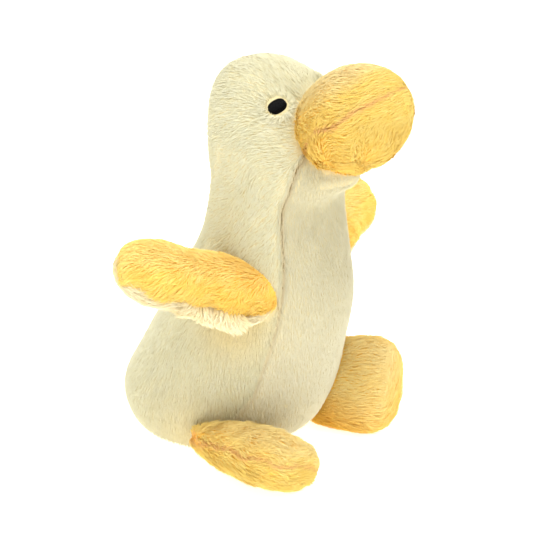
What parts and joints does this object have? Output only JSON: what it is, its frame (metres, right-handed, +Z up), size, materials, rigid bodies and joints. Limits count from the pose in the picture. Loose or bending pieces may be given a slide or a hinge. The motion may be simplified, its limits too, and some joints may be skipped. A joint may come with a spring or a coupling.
{
  "type": "stuffed plush duck",
  "caption": "Soft sewn duck that sits upright and looks up, with a round stuffed bill, two springy wings and two stuffed feet.",
  "frame": {"origin": "middle of the flat patch under the base panel, on the surface that the duck sits on", "axes": "+Z up through the body, -Y the way the duck faces, +X the duck's left"},
  "size_m": [0.1551, 0.1296, 0.1728],
  "materials": {
    "cream_plush": "short cream pile, matt, brushed down the body",
    "pale_plush": "pale straw pile on the under side of the wings",
    "yellow_plush": "longer yellow pile with curly clumps, warm ochre at its roots",
    "filling_fibre": "loose white polyester fibre, hidden",
    "eye_thread": "black satin-stitch embroidery with a soft silk shine"
  },
  "bodies": {
    "body": {"body_side_right": "cream_plush", "body_side_left": "cream_plush", "belly_gusset": "cream_plush", "base_panel": "cream_plush", "body_filling": "filling_fibre", "eye_right": "eye_thread", "eye_left": "eye_thread", "bill_top": "yellow_plush", "bill_bottom": "yellow_plush", "bill_filling": "filling_fibre"},
    "wing_right": {"wing_right_top": "yellow_plush", "wing_right_under": "pale_plush", "wing_right_filling": "filling_fibre"},
    "wing_left": {"wing_left_top": "yellow_plush", "wing_left_under": "pale_plush", "wing_left_filling": "filling_fibre"},
    "foot_right": {"foot_right_top": "yellow_plush", "foot_right_sole": "yellow_plush", "foot_right_filling": "filling_fibre"},
    "foot_left": {"foot_left_top": "yellow_plush", "foot_left_sole": "yellow_plush", "foot_left_filling": "filling_fibre"}
  },
  "joints": [
    {"name": "wing_right_flap", "type": "hinge", "parent": "body", "child": "wing_right", "pos_m": [-0.0295, -0.0325, 0.0935], "axis": [-0.2589, 0.9359, 0.239], "range_deg": [0, 30], "stiffness_Nm_per_rad": 0.06},
    {"name": "wing_left_flap", "type": "hinge", "parent": "body", "child": "wing_left", "pos_m": [0.0303, -0.022, 0.093], "axis": [0, -1, 0], "range_deg": [0, 30], "stiffness_Nm_per_rad": 0.06},
    {"name": "foot_right_lift", "type": "hinge", "parent": "body", "child": "foot_right", "pos_m": [-0.033, -0.03, 0.026], "axis": [-0.9794, 0.2019, 0], "range_deg": [0, 30], "stiffness_Nm_per_rad": 0.06},
    {"name": "foot_left_lift", "type": "hinge", "parent": "body", "child": "foot_left", "pos_m": [0.03, -0.03, 0.038], "axis": [-0.9487, -0.3162, 0], "range_deg": [0, 30], "stiffness_Nm_per_rad": 0.06}
  ]
}
